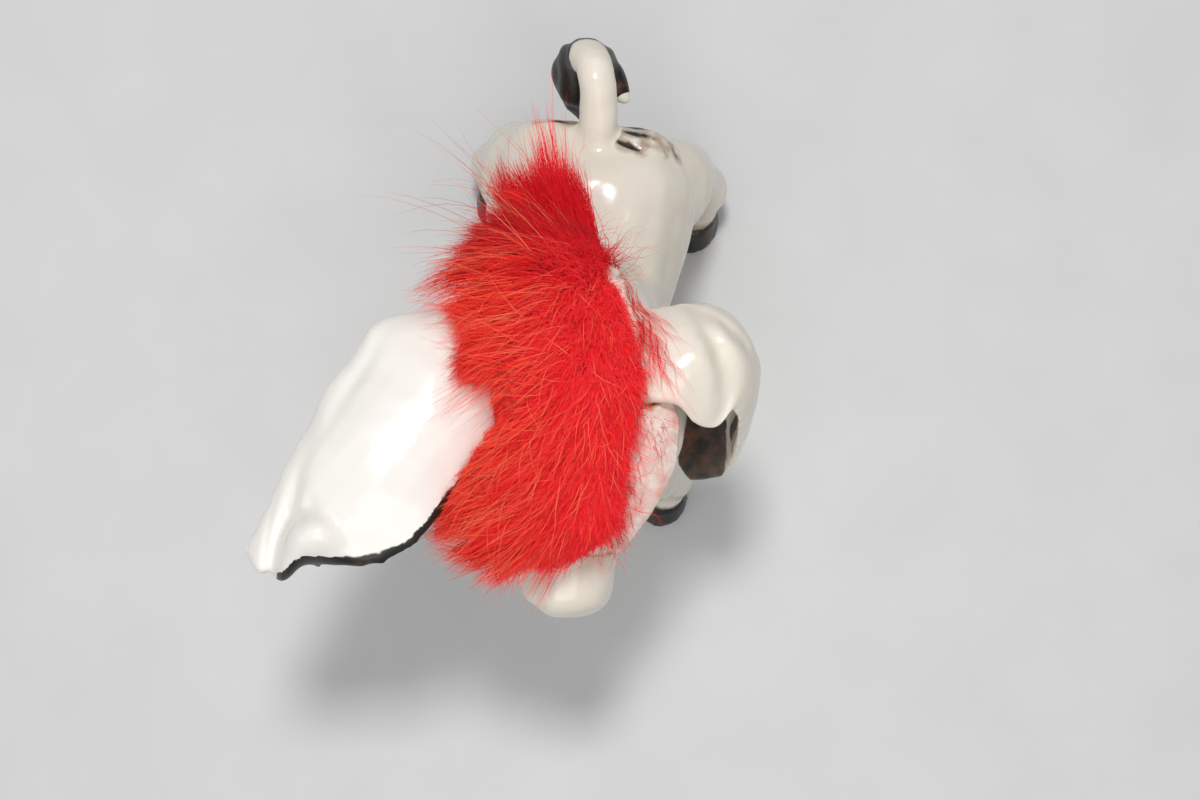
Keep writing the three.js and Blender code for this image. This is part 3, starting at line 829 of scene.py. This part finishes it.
def comb(roots):
    """First and last direction and length of each root's hair, as combed in the photograph."""
    across, y = roots.across, roots.back
    neck = fade(14, 26, y)
    tuft = fade(29, 36, y)
    lean = np.interp(across, [-1, -0.5, -0.1, 0.2, 0.5, 1], [-1.0, -0.95, -0.75, -0.35, 0.0, 0.3])
    lean = lean - 0.4 * neck * (1 - tuft)
    lean = lean * (1 - tuft) + np.interp(across, [-1, 1], [-0.9, 0.1]) * tuft
    ahead = np.interp(y, [-50, -32, -5, 12, 20, 27, 32, 42], [0.9, 0.7, 0.75, 0.85, 0.7, 0.2, -0.6, -1.0])
    ahead = ahead * (1 - 0.4 * fade(0.1, -0.5, across) * fade(14, -10, y))
    lift = np.interp(across, [-1, -0.5, -0.1, 0.2, 0.5, 1], [0.14, 0.28, 0.5, 0.9, 1.1, 0.8])
    lift = lift * (1 - tuft) + 0.8 * tuft
    droop = 0.3 * fade(-0.1, -0.9, across) * (1 - tuft)
    way = np.stack([lean, -ahead, -droop], 1)
    first = unit(roots.normals * (lift + 0.5)[:, None] + 0.55 * way)
    last = unit(roots.normals * (0.4 * lift)[:, None] + way)
    length = np.interp(across, [-1, -0.5, 0, 0.4, 0.8, 1], [21, 21, 17.5, 13, 10.5, 7.5])
    length = length * (1 + 0.25 * neck * fade(0.3, -0.6, across)) + 4 * tuft
    return first, last, length


def trimmed(rng, paths):
    """Shortens hair whose tip would lie outside the mane's outline in the photograph."""
    root, tip = paths[:, 0], paths[:, -1]
    ragged = rng.exponential(1.8, len(paths))
    right = outline_at(TIP_LINE, tip[:, 1]) + 2.0 - ragged
    left = outline_at(DENSE_LINE, tip[:, 1]) + 0.5 + ragged * 0.8
    front = SKULL[1] + np.interp(tip[:, 0] - SKULL[0], *np.array(FRONT_LINE).T) + 1.0 - ragged
    step = tip - root
    share = np.ones(len(paths))
    for axis, limit, way in ((0, right, -1), (0, left, 1), (1, front, -1)):
        over = (tip[:, axis] - limit) * way > 0
        room = (limit - root[:, axis]) * way / np.maximum(step[:, axis] * way, 0.1)
        share = np.where(over, np.minimum(share, np.clip(room, 0.3, 1)), share)
    return root[:, None] + (paths - root[:, None]) * share[:, None, None]


def kept_off(paths, tree):
    """Moves hair points that would enter the ceramic out to a little above it."""
    flat = paths.reshape(-1, 3).copy()
    for index, point in enumerate(flat):
        place, normal, _, distance = tree.find_nearest(point)
        if (Vector(point) - place).dot(normal) < HAIR_CLEARANCE and distance < HAIR_SINKING:
            flat[index] = place + normal * HAIR_CLEARANCE
    return flat.reshape(paths.shape)


def under_ear(paths, ear_tree):
    """Presses hair rooted ahead of the right ear's inner edge down beneath the ear."""
    for strand in np.flatnonzero(paths[:, 0, 1] < SKULL[1] + EAR_OVER_FUR):
        for ring in range(1, paths.shape[1]):
            x, y, z = paths[strand, ring]
            if ear_tree.ray_cast(Vector((x, y, OVERHEAD)), -UP)[0] is None:
                continue
            bottom = ear_tree.ray_cast(Vector((x, y, 0)), UP)[0]
            paths[strand, ring, 2] = min(z, bottom.z - 0.5)
    return paths


def strand_faces():
    """Triangles of a closed three-sided tube, and which of them have the colour of a hair's tip; the rest
    take the darker root colour, painted shade.
    """
    last = (STRAND_RINGS - 1) * 3
    faces = [(0, 2, 1), (last, last + 1, last + 2)]
    for corner in range(last):
        after = corner + 1 if corner % 3 < 2 else corner - 2
        faces += [(corner, after, after + 3), (corner, after + 3, corner + 3)]
    faces = np.array(faces)
    return faces, faces.min(1) >= STRAND_RINGS // 3 * 3


def strand_mesh(name, paths, radius, shade, outward):
    """Tapering tubes along the paths, shaded partly outward, as light scatters through soft fur."""
    tangents = unit(np.gradient(paths, axis=1))
    helper = unit(np.cross(tangents, (0.31, 0.22, 0.93)))
    other = np.cross(tangents, helper)
    width = radius * (1 - 0.85 * ALONG_HAIR ** 2)[:, None, None]
    angles = [2 * math.pi * side / 3 for side in range(3)]
    round_normals = np.stack([helper * math.cos(angle) + other * math.sin(angle) for angle in angles], 2)
    points = paths[:, :, None] + width * round_normals
    faces, tip = strand_faces()
    faces = faces + np.arange(len(paths))[:, None, None] * STRAND_RINGS * 3
    mesh = mesh_from(name, points.reshape(-1, 3), faces.reshape(-1, 3))
    mesh.polygons.foreach_set("material_index", (shade[:, None] * 2 + tip).astype(np.int32).ravel())
    mesh.shade_smooth()
    soft_normals = unit(0.4 * round_normals + outward[:, None, None])
    mesh.normals_split_custom_set_from_vertices(soft_normals.reshape(-1, 3).tolist())
    return mesh


def shades(rng, count, **chances):
    """A shade number per hair, from the chance of each shade for all hairs or for each."""
    edges = np.cumsum([np.broadcast_to(chance, count) for chance in chances.values()], axis=0)
    pick = (rng.random(count) * edges[-1] > edges).sum(0)
    numbers = np.array([list(FUR_SHADES).index(name) for name in chances])
    return numbers[np.minimum(pick, len(numbers) - 1)]


def in_fur(rng, roots):
    """Which roots belong to the dense fur; a few of them lie beyond its wavy edge."""
    wavy = 1.8 * waves(roots.places, 9, 41) - 1.2
    return roots.within(wavy + rng.exponential(0.7, roots.count))


# Kinds of hair: each gives the hairs' points and shades

def underfur(rng, hide, count):
    """Dense soft fur: combed into locks on the right, plush on the left."""
    roots = hide.roots(rng, count)
    roots = roots.only(in_fur(rng, roots))
    first, last, length = comb(roots)
    leaders = rng.choice(roots.count, LOCK_COUNT, replace=False)
    _, lock = nearest_distances(roots.places[leaders], roots.places)
    stray = rng.normal(0, 0.24, (LOCK_COUNT, 3))[lock] + rng.normal(0, 0.16, (roots.count, 3))
    length = length * rng.uniform(0.85, 1.15, LOCK_COUNT)[lock]
    first, last = unit(first + 0.8 * stray), unit(last + 1.3 * stray)
    curl = np.interp(roots.across, [-0.6, 0.1, 0.6], [0.5, 0.9, 1.6])
    paths = grown(rng, roots, first, last, length * rng.uniform(0.6, 1.08, roots.count), curl)
    own = paths[leaders[lock]]
    pull = np.interp(roots.across, [-0.4, 0.25], [0.85, 0.12]) * rng.uniform(0.4, 1.0, roots.count)
    share = ALONG_HAIR[:, None] ** 1.3
    paths = paths + pull[:, None, None] * share * (own - paths + 0.35 * (paths[:, :1] - own[:, :1]))
    combed = fade(0.15, -0.5, roots.across)
    neck = roots.on_neck()
    tone = rng.random(LOCK_COUNT)[lock] ** 2
    # darker locks are partly the fur's own tone and partly painted shade between the locks; rose is painted
    # light
    shade = shades(
        rng, roots.count,
        deep=0.03 + 0.6 * combed * tone * (1 - 0.7 * neck),
        red=0.25 + 0.2 * combed + 0.4 * neck,
        bright=0.5 - 0.25 * combed,
        rose=0.4 * (1 - combed) * (1 - neck),
        orange=0.02 + 0.5 * combed * (1 - 0.9 * neck))
    return trimmed(rng, paths), shade


def plush(rng, hide, count):
    """Short fine curls that fill the fur on the left and in the middle."""
    roots = hide.roots(rng, count)
    kept = in_fur(rng, roots) & (rng.random(count) < fade(-0.7, 0.2, roots.across))
    roots = roots.only(kept)
    first, last, length = comb(roots)
    first = unit(first + rng.normal(0, 0.3, (roots.count, 3)))
    last = unit(last + 0.5 * roots.normals + rng.normal(0, 0.5, (roots.count, 3)))
    paths = grown(rng, roots, first, last, length * rng.uniform(0.55, 0.95, roots.count), 1.5)
    head = 1 - roots.on_neck()
    # rose is painted light on the plush side
    shade = shades(
        rng, roots.count, red=0.95 - 0.8 * head, bright=0.5, rose=0.45 * head, orange=0.05 * head)
    return trimmed(rng, paths), shade


def tuft_hair(rng, hide, count):
    """Hair at the mane's back end, standing towards the tail like a blunt brush."""
    roots = hide.roots(rng, count * 8)
    roots = roots.only(np.flatnonzero((roots.back > 26) & roots.within(1))[:count])
    ends = SKULL + np.stack([
        np.interp(roots.across, [-1, 0.3], [-25, -5]) + rng.normal(0, 1.6, roots.count),
        rng.uniform(41, 51, roots.count) + rng.exponential(1.2, roots.count),
        roots.places[:, 2] - SKULL[2] + rng.uniform(5, 13, roots.count)], 1)
    span = ends - roots.places
    first = unit(roots.normals + 0.4 * unit(span))
    paths = grown(rng, roots, first, 2 * unit(span) - first, norms(span), 0.6)
    return paths, shades(rng, roots.count, deep=0.1, red=0.4, bright=0.5)


def guard_hair(rng, hide, count):
    """Longer, straighter orange hair over the combed side."""
    roots = hide.roots(rng, count)
    chance = np.interp(roots.across, [-1, -0.1, 0.2, 0.7], [1, 0.8, 0.2, 0.05])
    roots = roots.only(roots.within(-3) & (rng.random(count) < chance))
    first, last, length = comb(roots)
    stray = rng.normal(0, 0.2, (roots.count, 3))
    first, last = unit(first + stray), unit(last + 1.2 * stray + (0, 0, 0.12))
    paths = grown(rng, roots, first, last, length * 1.15 + rng.uniform(0, 6, roots.count), 0.4)
    neck = roots.on_neck()
    shade = shades(
        rng, roots.count, orange=0.5 - 0.4 * neck, amber=0.3 - 0.24 * neck, bright=0.2 + 0.6 * neck)
    return trimmed(rng, paths), shade


def bristles(rng, hide, count):
    """Coarse pale hairs across the others in all directions."""
    roots = hide.roots(rng, count)
    chance = np.interp(roots.across, [-0.6, 0, 0.6], [1, 0.5, 0.2])
    roots = roots.only(roots.within(-3) & (rng.random(count) < chance))
    first, last, length = comb(roots)
    last = unit(last + rng.normal(0, 0.55, (roots.count, 3)) * (1, 1, 0.3) + (0, 0, 0.15))
    paths = grown(rng, roots, unit(first + 0.6 * roots.normals), last, length * 1.35, 0.3)
    paths = trimmed(rng, paths)
    return paths, np.full(roots.count, list(FUR_SHADES).index("amber"))


def edge_hair(rng, hide, count):
    """Fine hair along the hide's left edge, beside the bare leather."""
    line = np.array(EDGE_LINE, float)
    start = rng.uniform(0, 0.62, count) * (len(line) - 1)
    steps = start[:, None] + ALONG_HAIR * rng.uniform(1.2, 2.6, (count, 1))
    fan = rng.normal(0.8, 3.0, (count, 1)) * ALONG_HAIR ** 1.5
    spread = rng.normal(0, 1.5, (count, 1)) + fan
    spread += 0.7 * np.sin(steps * rng.uniform(3, 6, (count, 1)))
    corners = np.arange(len(line))
    x = np.interp(steps, corners, line[:, 0]) + spread + SKULL[0]
    y = np.interp(steps, corners, line[:, 1]) + 0.4 * spread + SKULL[1]
    lift = rng.uniform(2.0, 3.6, count)[:, None] * np.linspace(1, 0.4, STRAND_RINGS)
    tops = [hide.skin_tree.ray_cast(Vector((*place, OVERHEAD)), -UP)[0] for place in zip(x.flat, y.flat)]
    height = np.array([0.0 if top is None else top.z for top in tops]).reshape(x.shape)
    steady = np.abs(np.diff(height, axis=1)).max(1) < 5
    shade = shades(rng, count, red=0.6, bright=0.4)
    return np.stack([x, y, height + lift], -1)[steady], shade[steady]


def loose(rng, roots, lift, way, spread, lengths, curl, scatter=0):
    """Points of loose hairs, which rise by lift along the normals and then go one way."""
    ways = rng.normal(way, spread, (roots.count, 3))
    first = unit(roots.normals * lift + ways)
    if scatter:
        ways = roots.normals * 0.1 + ways + rng.normal(0, scatter, ways.shape)
    return grown(rng, roots, first, unit(ways), rng.uniform(*lengths, roots.count), curl)


def neck_curls(rng, hide, count):
    """Fine curls that stand off the mane over the left shoulder."""
    roots = hide.roots(rng, count * 60)
    roots = roots.only(np.flatnonzero((roots.across > 0.3) & (roots.back > 20) & (roots.back < 38))[:count])
    paths = loose(rng, roots, 1, (0.8, 0.15, 0.1), (0.25, 0.4, 0.15), (7, 14), 2.6)
    return paths, shades(rng, roots.count, red=0.5, bright=0.5)


def wisps(rng, hide, count):
    """Fine loose curls over the hide's bare left edge."""
    roots = hide.roots(rng, count * 14)
    bare = (roots.from_edge > 2) & (roots.from_edge < 9) & (roots.back < 34)
    roots = roots.only(np.flatnonzero(bare)[:count])
    paths = loose(rng, roots, 0.7, (0.25, -0.6, 0), (0.5, 0.45, 0.2), (5, 11), 2.0, 0.3)
    return paths, shades(rng, roots.count, red=0.5, bright=0.5)


def strays(rng, hide, count):
    """Long single hairs that stand out from the mane's back and right side."""
    roots = hide.roots(rng, count * 30)
    roots = roots.only(np.flatnonzero((roots.across < 0.2) & (roots.back > 14))[:count])
    paths = loose(rng, roots, 2, (-0.9, 0.25, -0.25), (0.25, 0.4, 0.15), (26, 50), 1.0)
    return paths, shades(rng, roots.count, amber=0.5, bright=0.5)


def nose_lock(rng, hide, count):
    """A thin lock that hangs from the mane's front end over the muzzle."""
    roots = hide.roots(rng, NOSE_LOCK_CHOICE)
    away = norms(roots.places[:, :2] - (SKULL[:2] + NOSE_LOCK_PLACE))
    roots = roots.only(np.argsort(away)[:count])
    paths = loose(rng, roots, 0.6, (-0.42, -0.9, -0.12), (0.12, 0.08, 0.06), (12, 20), 0.8)
    return paths, shades(rng, count, deep=0.4, red=0.6)


# Kinds of hair in the order of growing, the number of hairs or of roots tried, and the radius
FUR_KINDS = (
    (underfur, 36000, 0.085), (plush, 32000, 0.07), (tuft_hair, 2600, 0.085), (guard_hair, 6000, 0.075),
    (neck_curls, 60, 0.055), (bristles, 700, 0.1), (edge_hair, 150, 0.055), (wisps, 170, 0.055),
    (strays, 40, 0.075), (nose_lock, 26, 0.055),
)


def make_mane(points, faces, owner):
    rng = np.random.default_rng(FUR_SEED)
    skin_tree = surface_tree(points, faces)
    ear_tree = surface_tree(points, faces[owned(owner, "right_ear")[faces[:, 0]]])
    hide = Hide(skin_tree)
    # two materials per kind of hair: the darker root colour, painted shade, and the tip colour
    materials = [
        new_material(f"fur_{shade}_{part}", fur, colour)
        for shade, pair in FUR_SHADES.items() for part, colour in zip(("root", "tip"), pair)]
    number = 0
    for kind, count, radius in FUR_KINDS:
        paths, shade = kind(rng, hide, count)
        paths = under_ear(kept_off(paths, skin_tree), ear_tree)
        order = np.argsort(paths[:, 0, 1])
        for chunk in np.array_split(order, math.ceil(len(order) / PIECE_STRANDS)):
            number += 1
            outward = np.array([skin_tree.find_nearest(root)[1] for root in paths[chunk, 0]])
            mesh = strand_mesh(f"mane_fur_{number}", paths[chunk], radius, shade[chunk], outward)
            add_piece(f"mane_fur_{number}", mesh, materials, ["mane_pile"])


def make_hide():
    """The leather strip with soft cut edges."""
    points, faces = through_modifier(
        *node_mesh("mane_hide"), "REMESH", mode="VOXEL", voxel_size=HIDE_VOXEL * MM)
    points = relaxed(points, faces, 5)
    normals = vertex_normals(points, faces)
    left = fade(14, 22, points[:, 0] - SKULL[0]) * bell(points[:, 1] - SKULL[1] + 28, 16)
    points = points + left[:, None] * HIDE_STRETCH
    points = points + normals * (0.12 * waves(points, 7, 61) + 0.06 * waves(points, 2.5, 62))[:, None]
    mesh = mesh_from("hide_leather", points, faces)
    float_attribute(mesh, "rim", 0.9 - rim_distance(points, normals))
    float_attribute(mesh, "furred", outline_at(DENSE_LINE, points[:, 1]) - 1 - points[:, 0])
    mesh.shade_smooth()
    material = new_material("dyed_hide", leather)
    add_piece("hide_leather", mesh, [material], ["mane_hide"])


def rim_distance(points, normals):
    """Distance from the hide's cut edge, where its skin turns away from the glue."""
    tree = surface_tree(*node_mesh("mane_glue"))
    below = np.array([tree.find_nearest(point)[0] for point in points])
    facing = np.abs((unit(points - below) * normals).sum(1))
    return nearest_distances(points[facing < 0.5], points)[0]


def dress_cad_node(name, material):
    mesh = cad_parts[name].data
    mesh.materials.clear()
    mesh.materials.append(material)


# Stage

def make_floor():
    half = 1500
    corners = np.array([[-half, -half, 0], [half, -half, 0], [half, half, 0], [-half, half, 0]])
    floor = add_object("floor", mesh_from("floor", corners, np.array([[0, 1, 2, 3]])))
    floor.data.materials.append(new_material("pale_floor", floor_paint))


# Lights: place in metres, size of the square, power
LIGHTS = {
    "key_softbox": ((-0.02, 0.17, 0.95), 0.13, 4.6),
    "overhead_softbox": ((0.15, -0.7, 1.15), 0.9, 5.4),
    "left_fill": ((-1.0, -0.5, 0.7), 1.0, 1.2),
}


def make_lights():
    for name, (place, size, power) in LIGHTS.items():
        data = bpy.data.lights.new(name, "AREA")
        data.energy = power
        data.size = size
        light = add_object(name, data)
        light.location = place
        way = Vector(BODY * MM) - Vector(place)
        light.rotation_euler = way.to_track_quat("-Z", "Y").to_euler()
    world = bpy.data.worlds.new("studio")
    world.use_nodes = True
    tree = world.node_tree
    fill(tree, tree.nodes["Background"], {"Color": (0.95, 0.96, 1.0, 1), "Strength": 0.3})
    bpy.context.scene.world = world


def make_camera():
    ahead = Vector(CAMERA_AHEAD).normalized()
    right = ahead.cross(Vector(CAMERA_UP)).normalized()
    up = right.cross(ahead)
    data = bpy.data.cameras.new("camera")
    data.sensor_width = SENSOR_MM
    data.lens = FOCAL_PIXELS / PHOTO_WIDTH * SENSOR_MM
    data.clip_start = 0.01
    camera = add_object("camera", data)
    place = Vector((*(BODY[:2] + CAMERA_FROM_BODY), CAMERA_HEIGHT)) * MM
    camera.matrix_world = Matrix.Translation(place) @ Matrix((right, up, -ahead)).transposed().to_4x4()
    bpy.context.scene.camera = camera


bpy.context.scene.view_settings.view_transform = "Standard"
skin = make_ceramic()
make_hide()
dress_cad_node("mane_glue", new_material("yellowed_glue", glue))
make_mane(*skin)
make_floor()
make_lights()
make_camera()
